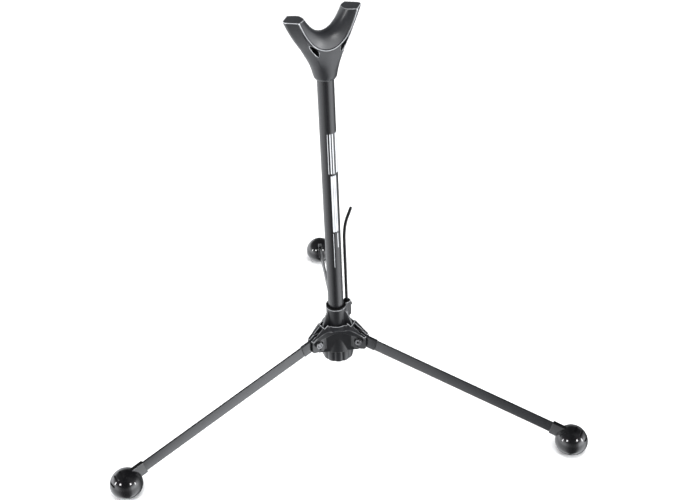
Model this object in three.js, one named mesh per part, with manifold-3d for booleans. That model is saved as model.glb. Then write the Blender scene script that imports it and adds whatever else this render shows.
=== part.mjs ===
// Three-legged bow stand: a central hub with three folding flat-bar legs on ball
// feet, a round post, a saddle-shaped fork head on top and a sprung limb clip.
// Millimetres, +Z up. Heights below are measured from the centre of the ball
// feet; the finished group is shifted so that the feet rest on z = 0 and the
// origin is the middle of the footprint.
import * as THREE from 'three';
import * as BufferGeometryUtils from 'three/addons/utils/BufferGeometryUtils.js';
import Module from 'manifold-3d';

const wasm = await Module();
wasm.setup();

// ---------------------------------------------------------------- dimensions
const DEG = Math.PI / 180;
const LEG_AZ = [180, 300, 60];          // directions of the three legs
const YOKE_AZ = -4.5;                    // direction in which the fork spreads

// post
const TUBE_R = 8.0;
const TUBE_RI = 6.8;
const TUBE_Z0 = 53.3;
const TUBE_Z1 = 371.6;

// feet
const BALL_R = 16.3;
const BALL_LOW = 13.2;                  // lower half is flattened
const PAD_Z = -12.7;                    // height of the flat contact pad
const FOOT_R = 255.8;                   // ball centre to post axis
const FOOT_SEG = 28;

// legs
const SLOPE = 14.3 * DEG;
const PIVOT_R = 27.5;
const PIVOT_Z = 63.8;
const BAR_H = 12.5;
const BAR_T = 2.0;
const TONGUE_T = 1.2;
const KNUCKLE_H = 13.4;
const KNUCKLE_T = 3.0;
const KNUCKLE_END = 17.2;               // along the leg from the pivot
const BALL_U = (FOOT_R - PIVOT_R) * Math.cos(SLOPE) + PIVOT_Z * Math.sin(SLOPE);
const BALL_V = (FOOT_R - PIVOT_R) * Math.sin(SLOPE) - PIVOT_Z * Math.cos(SLOPE);
const BAR_END = BALL_U - 8;             // bar stops inside the foot
const SOCKET_END = BALL_U - 7.6;
const NECK_START = BALL_U - 23.6;

// hub
const COLLAR_R = 10.4;
const COLLAR_TOP = 99.3;
const BORE_R = 9.4;
const BORE_Z = 53.0;
const HUB_Z0 = 49.8;
const WALL_D = 14.3;                    // flat walls between the clevises
const CHEEK_S = 4.6;                    // half width of a clevis
const SLOT_S = 1.8;                     // half width of its slot
const SLOT_R = 19.1;
const CLEVIS_END = 34.6;
const FIN_S = 1.05;                     // half width of the rib above a slot

// limb clip
const CLIP_R = 13.65;
const ROD_R = 1.5;

// fork head
const FORK_TOP = 418.7;
const FORK_HALF = 39.5;                 // reach of the fork at its top
const FORK_THICK = 10.9;
const SEAT_LOW = 388.8;
const SEAT_CROWN = 13.4;

// ------------------------------------------------------------------- helpers
function solid(geometry) {
  const g = geometry.clone();
  g.deleteAttribute('normal');
  g.deleteAttribute('uv');
  const m = BufferGeometryUtils.mergeVertices(g, 1e-4);
  return new wasm.Manifold(new wasm.Mesh({
    numProp: 3,
    vertProperties: new Float32Array(m.attributes.position.array),
    triVerts: new Uint32Array(m.index.array),
  }));
}

function toGeometry(manifold) {
  const mesh = manifold.getMesh();
  const g = new THREE.BufferGeometry();
  g.setAttribute('position', new THREE.BufferAttribute(new Float32Array(mesh.vertProperties), 3));
  g.setIndex(new THREE.BufferAttribute(new Uint32Array(mesh.triVerts), 1));
  g.computeVertexNormals();
  return g;
}

function join(...list) {
  let out = solid(list[0]);
  for (let i = 1; i < list.length; i++) out = out.add(solid(list[i]));
  return out;
}

function cut(base, ...tools) {
  let out = base;
  for (const t of tools) out = out.subtract(solid(t));
  return out;
}

// revolve an [r, z] profile about +Z
function lathe(profile, segments) {
  const pts = profile.map(([r, z]) => new THREE.Vector2(r, z));
  const g = new THREE.LatheGeometry(pts, segments);
  g.rotateX(Math.PI / 2);
  return g;
}

// cylinder whose axis is +Z, from z0 to z1
function rod(r, z0, z1, segments = 20) {
  const g = new THREE.CylinderGeometry(r, r, z1 - z0, segments);
  g.rotateX(Math.PI / 2);
  g.translate(0, 0, (z0 + z1) / 2);
  return g;
}

// cylinder whose axis is +Y, centred on [x, z], from y0 to y1
function crossRod(r, x, z, y0, y1, segments = 16) {
  const g = new THREE.CylinderGeometry(r, r, y1 - y0, segments);
  g.translate(x, (y0 + y1) / 2, z);
  return g;
}

function box(x0, x1, y0, y1, z0, z1) {
  const g = new THREE.BoxGeometry(x1 - x0, y1 - y0, z1 - z0);
  g.translate((x0 + x1) / 2, (y0 + y1) / 2, (z0 + z1) / 2);
  return g;
}

// plate whose outline is given in [x, z] and which spans y0..y1
function plate(outline, y0, y1) {
  const s = new THREE.Shape(outline.map(([x, z]) => new THREE.Vector2(x, z)));
  const g = new THREE.ExtrudeGeometry(s, { depth: y1 - y0, bevelEnabled: false });
  g.rotateX(Math.PI / 2);               // shape plane becomes XZ, depth runs to -Y
  g.translate(0, y1, 0);
  return g;
}

// prism whose outline is given in [x, y] and which spans z0..z1
function prism(outline, z0, z1) {
  const s = new THREE.Shape(outline.map(([x, y]) => new THREE.Vector2(x, y)));
  const g = new THREE.ExtrudeGeometry(s, { depth: z1 - z0, bevelEnabled: false });
  g.translate(0, 0, z0);
  return g;
}

// closed solid through a stack of rings that all have the same number of points
function loft(rings) {
  const n = rings[0].length;
  const pos = [];
  for (const ring of rings) for (const p of ring) pos.push(...p);
  const idx = [];
  for (let k = 0; k < rings.length - 1; k++) {
    for (let i = 0; i < n; i++) {
      const a = k * n + i, b = k * n + (i + 1) % n, c = a + n, d = b + n;
      idx.push(a, b, d, a, d, c);
    }
  }
  const centre = (ring) => ring.reduce((s, p) => [s[0] + p[0] / n, s[1] + p[1] / n, s[2] + p[2] / n], [0, 0, 0]);
  const lo = pos.length / 3;
  pos.push(...centre(rings[0]));
  const hi = lo + 1;
  pos.push(...centre(rings[rings.length - 1]));
  const top = (rings.length - 1) * n;
  for (let i = 0; i < n; i++) {
    idx.push(lo, (i + 1) % n, i);
    idx.push(hi, top + i, top + (i + 1) % n);
  }
  const g = new THREE.BufferGeometry();
  g.setAttribute('position', new THREE.BufferAttribute(new Float32Array(pos), 3));
  g.setIndex(idx);
  g.computeVertexNormals();
  return g;
}

function interp(table, x) {
  if (x <= table[0][0]) return table[0][1];
  for (let i = 1; i < table.length; i++) {
    if (x <= table[i][0]) {
      const t = (x - table[i - 1][0]) / (table[i][0] - table[i - 1][0]);
      return table[i - 1][1] + t * (table[i][1] - table[i - 1][1]);
    }
  }
  return table[table.length - 1][1];
}

// ----------------------------------------------------------------- materials
const material = (name, color, roughness, metalness) =>
  new THREE.MeshStandardMaterial({ name, color, roughness, metalness });
const MAT = {
  hub: () => material('hub_plastic', 0x1b1c1f, 0.42, 0.0),
  fork: () => material('fork_plastic', 0x202124, 0.5, 0.0),
  post: () => material('anodised_tube', 0x141518, 0.32, 0.85),
  leg: () => material('leg_bar', 0x1a1c20, 0.36, 0.8),
  foot: () => material('foot_rubber', 0x0b0b0c, 0.22, 0.0),
  bush: () => material('bush_plastic', 0x070708, 0.6, 0.0),
  steel: () => material('black_steel', 0x2b2c2e, 0.35, 0.9),
  clip: () => material('clip_coating', 0x101113, 0.4, 0.1),
};

const stand = new THREE.Group();
function add(parent, name, geometry, mat) {
  const mesh = new THREE.Mesh(geometry, mat);
  mesh.name = name;
  parent.add(mesh);
  return mesh;
}

// ----------------------------------------------------------------------- hub
// boss and collar, closed along the bore
const boss = lathe([
  [BORE_R, COLLAR_TOP], [BORE_R, BORE_Z], [3.3, BORE_Z], [3.3, HUB_Z0],
  [16.4, HUB_Z0], [17.0, 50.4], [15.6, 58], [14.1, 67.5], [12.3, 74], [11.6, 79],
  [10.7, 80.6], [COLLAR_R, 82.5], [COLLAR_R, COLLAR_TOP - 0.5], [COLLAR_R - 0.4, COLLAR_TOP],
  [BORE_R, COLLAR_TOP],
], 48);

// triangular core whose flat walls face between the legs
const core = [];
for (const az of LEG_AZ) {
  core.push([2 * WALL_D * Math.cos(az * DEG), 2 * WALL_D * Math.sin(az * DEG)]);
}
const corePrism = prism([core[2], core[0], core[1]], HUB_Z0 + 0.5, 76);

// hood: a three-armed sheet that runs from the collar to the clevis ends, hung
// lower in the middle of each side and arched underneath
function starRadius(phi) {               // phi: angle from the nearest leg, 0..60
  if (phi <= 8) return 34.2 / Math.cos(phi * DEG);
  const arm = (r, s) => [r, s];
  const a = arm(32.8, 5.1);
  const c2 = Math.cos(120 * DEG), s2 = Math.sin(120 * DEG);
  const b = [a[0] * c2 + a[1] * s2, a[0] * s2 - a[1] * c2];
  const m = [11.6 * Math.cos(60 * DEG), 11.6 * Math.sin(60 * DEG)];
  for (let i = 0; i <= 400; i++) {
    const t = i / 800;
    const x = (1 - t) * (1 - t) * a[0] + 2 * t * (1 - t) * m[0] + t * t * b[0];
    const y = (1 - t) * (1 - t) * a[1] + 2 * t * (1 - t) * m[1] + t * t * b[1];
    if (Math.atan2(y, x) >= phi * DEG - 1e-9) return Math.hypot(x, y);
  }
  return 15.9;
}
const HOOD_PHI = [0, 5, 8.84, 12, 16, 21, 28, 36, 44, 52];
const hoodAngles = [];
for (const az of [60, 180, 300]) {
  for (const p of HOOD_PHI) hoodAngles.push([az + p, p]);
  hoodAngles.push([az + 60, 60]);
  for (const p of HOOD_PHI.slice(1).reverse()) hoodAngles.push([az + 120 - p, p]);
}
const HOOD_R = 6;
function hoodHeights(r, phi) {
  const s = r * Math.sin(phi * DEG);
  const side = Math.min(1, Math.max(0, (s - 4.4) / (0.866 * r - 4.4)));
  const ridge = 86.2 - 0.81 * (r - 12);
  const valley = 79.4 - 0.42 * (r - COLLAR_R);
  const k = side * side * (3 - 2 * side);
  const top = Math.min(ridge, ridge + (valley - ridge) * k);
  const low = 68.2 + 7.2 * Math.pow(Math.sin(Math.min(1, phi / 60) * Math.PI / 2), 1.6);
  return [Math.max(top, low + 1.2), low];
}
const hoodPos = [];
const hoodIdx = [];
const nA = hoodAngles.length;
for (let layer = 0; layer < 2; layer++) {
  for (let j = 0; j <= HOOD_R; j++) {
    for (const [az, phi] of hoodAngles) {
      const r = 9.9 + (starRadius(phi) - 9.9) * j / HOOD_R;
      const h = hoodHeights(r, phi);
      hoodPos.push(r * Math.cos(az * DEG), r * Math.sin(az * DEG), h[layer]);
    }
  }
}
const at = (layer, j, i) => (layer * (HOOD_R + 1) + j) * nA + (i % nA);
for (let i = 0; i < nA; i++) {
  for (let j = 0; j < HOOD_R; j++) {
    hoodIdx.push(at(0, j, i), at(0, j + 1, i), at(0, j + 1, i + 1), at(0, j, i), at(0, j + 1, i + 1), at(0, j, i + 1));
    hoodIdx.push(at(1, j, i), at(1, j + 1, i + 1), at(1, j + 1, i), at(1, j, i), at(1, j, i + 1), at(1, j + 1, i + 1));
  }
  hoodIdx.push(at(0, 0, i), at(0, 0, i + 1), at(1, 0, i + 1), at(0, 0, i), at(1, 0, i + 1), at(1, 0, i));
  hoodIdx.push(at(0, HOOD_R, i), at(1, HOOD_R, i + 1), at(0, HOOD_R, i + 1), at(0, HOOD_R, i), at(1, HOOD_R, i), at(1, HOOD_R, i + 1));
}
const hood = new THREE.BufferGeometry();
hood.setAttribute('position', new THREE.BufferAttribute(new Float32Array(hoodPos), 3));
hood.setIndex(hoodIdx);
hood.computeVertexNormals();

let hub = join(boss, corePrism).add(solid(hood));
for (const az of LEG_AZ) {
  const cheek = plate([
    [8, 56], [8, 84.5], [12.4, 86.4], [33.0, 69.8], [34.2, 68.4], [CLEVIS_END, 66.6],
    [CLEVIS_END, 57.6], [34.0, 55.6], [32.2, 54.4], [22, 52.2], [15, 50.6], [13, 50],
  ], -CHEEK_S, CHEEK_S);
  cheek.rotateZ(az * DEG);
  const fin = plate([[8, 97], [10.6, 96.6], [12.8, 94], [SLOT_R, 77.4], [SLOT_R, 60], [8, 60]], -FIN_S, FIN_S);
  fin.rotateZ(az * DEG);
  hub = hub.add(solid(cheek)).add(solid(fin));
  // pads beside the pivot heads, into which the head pockets are sunk
  for (const side of [1, -1]) {
    const pad = [[14, 4], [25.5, 4], [25.5, 6.6], [21.5, 6.6], [16, 5.2], [14, 4.6]].map(([x, y]) => [x, side * y]);
    if (side < 0) pad.reverse();
    const block = prism(pad, 55.4, 70.8);
    block.rotateZ(az * DEG);
    hub = hub.add(solid(block));
  }
}
// lobe that carries the limb clip
const lobe = join(box(8, 14.7, -3.5, 3.5, 80.6, COLLAR_TOP), (() => {
  const g = rod(3.7, 82.5, COLLAR_TOP, 20);
  g.translate(14.7, 0, 0);
  return g;
})());
hub = hub.add(lobe);
// cuts: post bore, slots, pivots, head pockets, clip socket
hub = cut(hub, rod(BORE_R, BORE_Z, 120, 48), rod(3.3, 40, 60, 20));
for (const az of LEG_AZ) {
  const tools = [
    box(SLOT_R, 40, -SLOT_S, SLOT_S, 40, 110),
    crossRod(2.15, PIVOT_R, PIVOT_Z, -12, 12, 16),
    crossRod(4.9, PIVOT_R, PIVOT_Z, CHEEK_S, 14, 20),
    crossRod(4.9, PIVOT_R, PIVOT_Z, -14, -CHEEK_S, 20),
  ];
  for (const t of tools) t.rotateZ(az * DEG);
  hub = cut(hub, ...tools);
}
const socket = rod(2.3, 91.6, 110, 16);
socket.translate(CLIP_R, 0, 0);
const counterbore = rod(3.1, 96.3, 110, 16);
counterbore.translate(CLIP_R, 0, 0);
const grubHole = new THREE.CylinderGeometry(1.45, 1.45, 5, 12);
grubHole.rotateZ(Math.PI / 2);
grubHole.translate(18.2, 0, 94);
hub = cut(hub, socket, counterbore, grubHole);
add(stand, 'hub_body', toGeometry(hub), MAT.hub());

// ------------------------------------------------- post, bush, plug and knob
add(stand, 'tube_bush', lathe([
  [8.28, 72], [9.12, 72], [9.12, COLLAR_TOP + 0.3], [10.35, COLLAR_TOP + 0.3],
  [10.35, 101.3], [10.05, 101.6], [8.28, 101.6], [8.28, 72],
], 40), MAT.bush());
add(stand, 'post_tube', lathe([
  [TUBE_RI, TUBE_Z0], [TUBE_R, TUBE_Z0], [TUBE_R, TUBE_Z1], [TUBE_RI, TUBE_Z1], [TUBE_RI, TUBE_Z0],
], 40), MAT.post());
add(stand, 'tube_end_plug', lathe([
  [3.3, 54.4], [6.5, 54.4], [6.5, 68], [6.0, 69], [3.3, 69], [3.3, 54.4],
], 28), MAT.bush());

const KNOB_LOBES = 12;
const KNOB_R = 16.3;
const KNOB_Z0 = 36.9;
const knobOutline = [];
for (let i = 0; i < KNOB_LOBES * 6; i++) {
  const a = (i / (KNOB_LOBES * 6)) * 2 * Math.PI;
  const wave = Math.abs(Math.sin(a * KNOB_LOBES / 2));
  const r = KNOB_R - 0.7 * Math.pow(1 - wave, 1.4);
  knobOutline.push([a + 12.1 * DEG, r]);
}
const knobRing = (k, z) => knobOutline.map(([a, r]) => [(r - k) * Math.cos(a), (r - k) * Math.sin(a), z]);
const knob = cut(solid(loft([knobRing(1.0, KNOB_Z0), knobRing(0.0, KNOB_Z0 + 1), knobRing(0.0, 48.8), knobRing(0.7, HUB_Z0 - 0.3)])),
  rod(3.3, 40.4, 60, 20));
add(stand, 'bottom_knob', toGeometry(knob), MAT.hub());
add(stand, 'knob_stud', rod(3.0, 40.7, 66, 20), MAT.steel());

// ------------------------------------------------------------------ limb clip
const clipPath = [];
clipPath.push([CLIP_R, 92.5], [CLIP_R, 110], [CLIP_R, 140], [CLIP_R, 170]);
clipPath.push([13.75, 178], [14.3, 185], [15.3, 191], [17.1, 196.8], [19.6, 202], [22.1, 206.8], [23.6, 209.8]);
const clipRings = [];
const CLIP_N = 12;
for (let k = 0; k < clipPath.length; k++) {
  const a = clipPath[Math.max(0, k - 1)], b = clipPath[Math.min(clipPath.length - 1, k + 1)];
  const d = Math.hypot(b[0] - a[0], b[1] - a[1]);
  const nx = (b[1] - a[1]) / d, nz = -(b[0] - a[0]) / d;     // normal in the XZ plane
  const ends = k === 0 || k === clipPath.length - 1;
  const rr = ends ? ROD_R * 0.72 : ROD_R;
  const ring = [];
  for (let i = 0; i < CLIP_N; i++) {
    const t = (i / CLIP_N) * 2 * Math.PI;
    ring.push([clipPath[k][0] + nx * rr * Math.cos(t), rr * Math.sin(t), clipPath[k][1] + nz * rr * Math.cos(t)]);
  }
  clipRings.push(ring);
}
add(stand, 'limb_clip', loft(clipRings), MAT.clip());
const grommet = lathe([
  [1.85, 96.6], [2.8, 96.6], [2.8, COLLAR_TOP + 0.3], [3.3, COLLAR_TOP + 0.3], [3.3, 100.6], [2.9, 101.1], [1.85, 101.1], [1.85, 96.6],
], 20);
grommet.translate(CLIP_R, 0, 0);
add(stand, 'clip_grommet', toGeometry(cut(solid(grommet), rod(10.65, 90, 110, 40))), MAT.bush());
const grub = join(
  (() => { const g = new THREE.CylinderGeometry(1.15, 1.15, 2.4, 12); g.rotateZ(Math.PI / 2); g.translate(17.5, 0, 94); return g; })(),
  (() => { const g = new THREE.CylinderGeometry(1.9, 1.9, 0.8, 16); g.rotateZ(Math.PI / 2); g.translate(19.1, 0, 94); return g; })(),
);
add(stand, 'clip_screw', toGeometry(grub), MAT.steel());

// ------------------------------------------------------------------ fork head
// outline of the top, in fork coordinates: g along the spread, h along the seat
const TOP = [];
for (const side of [-1, 1]) {
  TOP.push([side * 38.8, side * 2.6], [side * FORK_HALF, side * 0.8], [side * FORK_HALF, side * -0.8], [side * 38.8, side * -2.6]);
  TOP.push([side * 30, side * -FORK_THICK], [side * -30, side * -FORK_THICK]);
}
const FORK_N = 56;
function topPoint(theta) {
  const dx = Math.cos(theta), dy = Math.sin(theta);
  let best = 0;
  for (let i = 0; i < TOP.length; i++) {
    const [x1, y1] = TOP[i], [x2, y2] = TOP[(i + 1) % TOP.length];
    const ex = x2 - x1, ey = y2 - y1;
    const det = dx * -ey + dy * ex;
    if (Math.abs(det) < 1e-9) continue;
    const t = (x1 * -ey + y1 * ex) / det;
    const u = (dx * y1 - dy * x1) / det;
    if (t > 0 && u >= -1e-9 && u <= 1 + 1e-9) best = Math.max(best, t);
  }
  return [dx * best / FORK_HALF, dy * best / FORK_THICK];
}
const RHO = [[356.4, 9.4], [358.6, 10.8], [361.5, 11.5], [366, 12.8], [371, 14.4], [375, 16.2], [379, 18.2], [384, 20.9], [389.5, 23.9], [394, 26.8], [398.5, 29.6], [403, 32.1], [408, 34.7], [412, 36.6], [418.7, FORK_HALF]];
const THICK = [[356.4, 9.4], [358.6, 10.8], [361.5, 11.3], [370, 11.8], [385, 11.5], [400, 11.1], [418.7, FORK_THICK]];
const MORPH = [[364, 0], [372, 0.2], [384, 0.65], [396, 0.95], [404, 1], [420, 1]];
// rays are spread so that corners of the outline get their own rays
const forkAngles = [];
{
  const corners = TOP.map(([x, y]) => Math.atan2(y / FORK_THICK, x / FORK_HALF));
  for (let i = 0; i < FORK_N; i++) forkAngles.push(-Math.PI + (i / FORK_N) * 2 * Math.PI);
  for (const c of corners) {
    let k = 0;
    for (let i = 1; i < forkAngles.length; i++) {
      const d = (q) => Math.abs(Math.atan2(Math.sin(forkAngles[q] - c), Math.cos(forkAngles[q] - c)));
      if (d(i) < d(k)) k = i;
    }
    forkAngles[k] = c;
  }
  forkAngles.sort((a, b) => a - b);
}
function forkRing(z) {
  const rho = interp(RHO, z), t = interp(THICK, z), m = interp(MORPH, z);
  return forkAngles.map((a) => {
    const ray = topPoint(Math.atan2(Math.sin(a) * FORK_THICK, Math.cos(a) * FORK_HALF));
    const x = (1 - m) * Math.cos(a) + m * ray[0];
    const y = (1 - m) * Math.sin(a) + m * ray[1];
    return [rho * x, t * y, z];
  });
}
const forkBody = loft([356.4, 358.6, 361.5, 366, 371, 377, 383, 389, 395, 401, 407, 413, FORK_TOP].map(forkRing));
// seat: a U-shaped trough whose floor and sides are crowned along the seat
function seatHeight(g, h) {
  const c = Math.max(-0.6, 1 - Math.pow(Math.abs(h) / 11, 2.8));
  const a = 30 - 9.4 * c;
  const low = SEAT_LOW + SEAT_CROWN * c;
  const s = Math.abs(g) / a;
  return low + (FORK_TOP - low) * Math.pow(s, 2.55 - 0.45 * Math.max(0, c));
}
const seatPos = [], seatIdx = [];
const SG = [], SH = [];
for (let i = 0; i <= 26; i++) SG.push(-35 + 70 * i / 26);
for (const h of [-14, -12.4, -11, -9.4, -7.6, -5.4, -2.8, 0, 2.8, 5.4, 7.6, 9.4, 11, 12.4, 14]) SH.push(h);
for (const top of [false, true]) {
  for (const h of SH) for (const g of SG) seatPos.push(g, h, top ? 460 : Math.min(450, seatHeight(g, h)));
}
const ng = SG.length, nh = SH.length, half = ng * nh;
for (let j = 0; j < nh - 1; j++) {
  for (let i = 0; i < ng - 1; i++) {
    const a = j * ng + i, b = a + 1, c = a + ng, d = c + 1;
    seatIdx.push(a, d, b, a, c, d);
    seatIdx.push(half + a, half + b, half + d, half + a, half + d, half + c);
  }
}
for (let i = 0; i < ng - 1; i++) {
  const a = i, b = i + 1, c = (nh - 1) * ng + i, d = c + 1;
  seatIdx.push(a, b, half + b, a, half + b, half + a);
  seatIdx.push(c, half + d, d, c, half + c, half + d);
}
for (let j = 0; j < nh - 1; j++) {
  const a = j * ng, b = (j + 1) * ng, c = j * ng + ng - 1, d = (j + 1) * ng + ng - 1;
  seatIdx.push(a, half + b, b, a, half + a, half + b);
  seatIdx.push(c, d, half + d, c, half + d, half + c);
}
const seatTool = new THREE.BufferGeometry();
seatTool.setAttribute('position', new THREE.BufferAttribute(new Float32Array(seatPos), 3));
seatTool.setIndex(seatIdx);
// windows under the two arms of the seat, right through front to back
const window1 = [[-20.8, 395.8], [-16.7, 394.2], [-13.4, 391.6], [-11.5, 388.2], [-11.0, 385.2], [-11.8, 383.0], [-13.6, 384.6], [-17.0, 388.8], [-19.8, 393.3]];
const windowA = plate(window1, -24, 24);
const windowB = plate(window1.map(([x, z]) => [-x, z]).reverse(), -24, 24);
const fork = cut(solid(forkBody).subtract(solid(seatTool)), windowA, windowB, rod(TUBE_R + 0.3, 340, TUBE_Z1 + 0.3, 40));
const forkGeometry = toGeometry(fork);
const forkHead = add(stand, 'fork_head', forkGeometry, MAT.fork());
forkHead.rotation.z = YOKE_AZ * DEG;

// ----------------------------------------------------------------------- legs
// built along +X from the pivot, then tilted down and turned to each azimuth
const knuckleOutline = [[0, KNUCKLE_H / 2], [KNUCKLE_END, KNUCKLE_H / 2], [KNUCKLE_END, -KNUCKLE_H / 2], [-KNUCKLE_H / 2, -KNUCKLE_H / 2], [-KNUCKLE_H / 2, 0]];
for (let i = 1; i < 7; i++) {
  const a = (180 - 90 * i / 7) * DEG;
  knuckleOutline.push([KNUCKLE_H / 2 * Math.cos(a), KNUCKLE_H / 2 * Math.sin(a)]);
}
function knuckleGeometry() {
  return toGeometry(cut(solid(plate(knuckleOutline, -KNUCKLE_T / 2, KNUCKLE_T / 2)),
    crossRod(2.15, 0, 0, -5, 5, 16),
    box(KNUCKLE_END - 9.3, KNUCKLE_END + 2, -0.9, 0.9, -4.3, 4.3)));
}
function barGeometry() {
  return toGeometry(join(
    box(KNUCKLE_END + 0.3, BAR_END, -BAR_T / 2, BAR_T / 2, -BAR_H / 2, BAR_H / 2),
    box(KNUCKLE_END - 9, KNUCKLE_END + 1, -TONGUE_T / 2, TONGUE_T / 2, -4, 4),
  ));
}
function footGeometry() {
  const profile = [[0, PAD_Z]];
  const padR = BALL_R * Math.sqrt(1 - Math.pow(PAD_Z / BALL_LOW, 2));
  profile.push([padR, PAD_Z]);
  const a0 = Math.asin(PAD_Z / BALL_LOW);
  for (let i = 1; i < 6; i++) {
    const a = a0 * (1 - i / 6);
    profile.push([BALL_R * Math.cos(a), BALL_LOW * Math.sin(a)]);
  }
  for (let i = 0; i < 9; i++) {
    const a = (i / 9) * Math.PI / 2;
    profile.push([BALL_R * Math.cos(a), BALL_R * Math.sin(a)]);
  }
  profile.push([0, BALL_R]);
  const ball = lathe(profile, FOOT_SEG);
  const slots = [];
  for (const el of [15, 44, 70]) {
    const s = box(BALL_R - 1.3, BALL_R + 3, -4.35, 4.35, -0.95, 0.95);
    s.rotateY(-el * DEG);
    slots.push(s);
  }
  let foot = cut(solid(ball), ...slots);
  const body = toGeometry(foot);
  body.rotateY(-SLOPE);                 // counter the tilt of the leg
  body.translate(BALL_U, 0, BALL_V);
  const neck = box(NECK_START, BALL_U - 4, -2.3, 2.3, -BAR_H / 2 - 1.2, BAR_H / 2 + 1.2);
  foot = solid(body).add(solid(neck));
  foot = cut(foot, box(NECK_START - 2, SOCKET_END, -BAR_T / 2 - 0.3, BAR_T / 2 + 0.3, -BAR_H / 2 - 0.3, BAR_H / 2 + 0.3));
  return toGeometry(foot);
}
function screwGeometry() {
  // socket-head screw along Y, head on the -Y side
  const head = crossRod(3.4, 0, 0, -CHEEK_S - 0.3 - 3.2, -CHEEK_S - 0.3, 20);
  const shank = crossRod(1.85, 0, 0, -CHEEK_S - 1, 8.0, 14);
  const hex = new THREE.CylinderGeometry(1.75, 1.75, 2.4, 6);
  hex.translate(0, -CHEEK_S - 3.5, 0);
  return toGeometry(cut(join(head, shank), hex));
}
function nutGeometry() {
  const hex = new THREE.CylinderGeometry(3.95, 3.95, 3.0, 6);
  hex.translate(0, CHEEK_S + 0.3 + 1.5, 0);
  return toGeometry(cut(solid(hex), crossRod(2.15, 0, 0, 0, 14, 14)));
}
LEG_AZ.forEach((az, i) => {
  const turn = new THREE.Group();
  turn.rotation.z = az * DEG;
  stand.add(turn);
  const tilt = new THREE.Group();
  tilt.position.set(PIVOT_R, 0, PIVOT_Z);
  tilt.rotation.y = SLOPE;
  turn.add(tilt);
  const n = i + 1;
  add(tilt, `leg_${n}_knuckle`, knuckleGeometry(), MAT.leg());
  add(tilt, `leg_${n}_bar`, barGeometry(), MAT.leg());
  add(tilt, `leg_${n}_foot`, footGeometry(), MAT.foot());
  const fixed = new THREE.Group();
  fixed.position.set(PIVOT_R, 0, PIVOT_Z);
  turn.add(fixed);
  add(fixed, `leg_${n}_pivot_screw`, screwGeometry(), MAT.steel());
  add(fixed, `leg_${n}_pivot_nut`, nutGeometry(), MAT.steel());
});

// --------------------------------------------------- origin under the middle
stand.updateMatrixWorld(true);
const extent = new THREE.Box3().setFromObject(stand, true);
stand.position.set(-(extent.min.x + extent.max.x) / 2, -(extent.min.y + extent.max.y) / 2, -extent.min.z);
stand.updateMatrixWorld(true);

export default stand;
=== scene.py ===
"""Look development for the folding bow stand. Every piece is built in metres in
the row frame, from the sizes of the CAD nodes it stands for."""
import math

import bmesh
import bpy
import numpy as np
from mathutils import Matrix, Vector


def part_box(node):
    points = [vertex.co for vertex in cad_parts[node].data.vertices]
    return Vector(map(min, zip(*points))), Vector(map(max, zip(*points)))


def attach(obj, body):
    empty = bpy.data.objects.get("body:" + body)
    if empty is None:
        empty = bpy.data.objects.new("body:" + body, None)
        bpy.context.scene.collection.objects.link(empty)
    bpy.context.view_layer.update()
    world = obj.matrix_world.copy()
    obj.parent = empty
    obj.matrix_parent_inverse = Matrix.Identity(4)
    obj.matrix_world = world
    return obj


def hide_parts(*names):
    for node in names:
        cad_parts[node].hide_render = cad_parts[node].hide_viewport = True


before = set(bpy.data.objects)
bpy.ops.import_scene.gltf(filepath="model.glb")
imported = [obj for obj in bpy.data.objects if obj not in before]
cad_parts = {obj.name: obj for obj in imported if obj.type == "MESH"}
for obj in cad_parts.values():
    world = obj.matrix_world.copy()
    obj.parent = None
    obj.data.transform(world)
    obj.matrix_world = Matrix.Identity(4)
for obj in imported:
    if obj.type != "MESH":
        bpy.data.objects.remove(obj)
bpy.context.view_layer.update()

DEG = math.pi / 180
MM = 0.001

# the post axis and the height of the ball-foot centres, from the CAD nodes
_lo, _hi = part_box("post_tube")
AX = (_lo[0] + _hi[0]) / 2
AY = (_lo[1] + _hi[1]) / 2
AZ = _lo[2] - 53.3 * MM
LEG_AZ = [180, 300, 60]

# sizes in millimetres, heights from the ball-foot centres
TUBE_R, TUBE_RI = 8.0, 6.8
BALL_R, BALL_LOW, PAD_Z = 16.3, 13.2, -12.7
FOOT_R = 255.8
SLOPE = 14.3 * DEG
PIVOT_R, PIVOT_Z = 27.5, 63.8
BAR_H, BAR_T = 12.5, 2.0
KNUCKLE_H, KNUCKLE_T, KNUCKLE_END = 13.4, 3.0, 17.2
BALL_U = (FOOT_R - PIVOT_R) * math.cos(SLOPE) + PIVOT_Z * math.sin(SLOPE)
BALL_V = (FOOT_R - PIVOT_R) * math.sin(SLOPE) - PIVOT_Z * math.cos(SLOPE)
BAR_END, SOCKET_END, NECK_START = BALL_U - 8, BALL_U - 7.6, BALL_U - 23.6
COLLAR_R, COLLAR_TOP = 10.4, 99.3
BORE_R, BORE_Z, HUB_Z0 = 9.4, 53.0, 49.8
WALL_D, CHEEK_S, SLOT_S, SLOT_R, CLEVIS_END = 14.3, 4.6, 1.8, 19.1, 34.6
CLIP_R, ROD_R = 13.65, 1.58
FORK_TOP, FORK_HALF, FORK_THICK = 419.2, 39.5, 10.9
SEAT_LOW, SEAT_CROWN = 388.8, 13.4
YOKE_AZ = -4.5


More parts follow.
